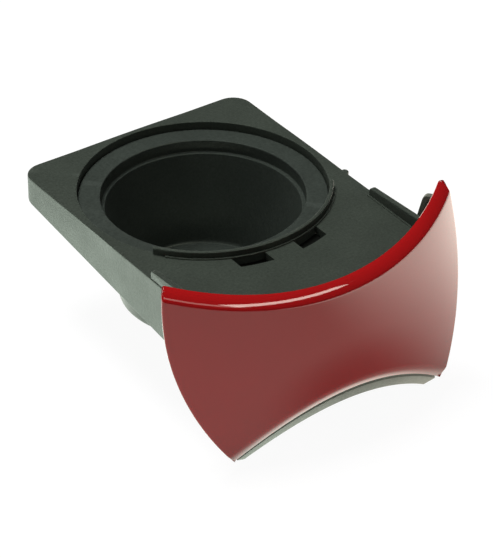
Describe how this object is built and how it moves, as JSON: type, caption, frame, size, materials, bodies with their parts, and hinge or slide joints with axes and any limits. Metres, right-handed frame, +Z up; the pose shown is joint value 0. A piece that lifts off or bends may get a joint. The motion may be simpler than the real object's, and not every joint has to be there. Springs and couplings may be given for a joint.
{
  "type": "coffee pod holder",
  "caption": "Drawer-style pod holder of a coffee machine: a black moulded tray with a lift-out pod cup and a curved red gloss front.",
  "frame": {"origin": "middle of the footprint on the surface the holder stands on", "axes": "+Z up, -Y towards the red front, +Y towards the end that goes into the machine first, +X to the right seen from the front"},
  "size_m": [0.0924, 0.1042, 0.0512],
  "materials": {
    "tray_plastic": "fine moulded grain",
    "cup_plastic": "smooth moulding",
    "backing_plastic": "fine moulded grain",
    "red_gloss": "gloss lacquer",
    "screw_steel": "zinc plated"
  },
  "bodies": {
    "drawer": {"holder_body": "tray_plastic", "front_backing": "backing_plastic", "front_cover": "red_gloss", "front_screws": "screw_steel"},
    "cup": {"pod_cup": "cup_plastic"}
  },
  "joints": [
    {"name": "cup_lift", "type": "slide", "parent": "drawer", "child": "cup", "axis": [0, 0, 1], "range_m": [0, 0.045]}
  ]
}
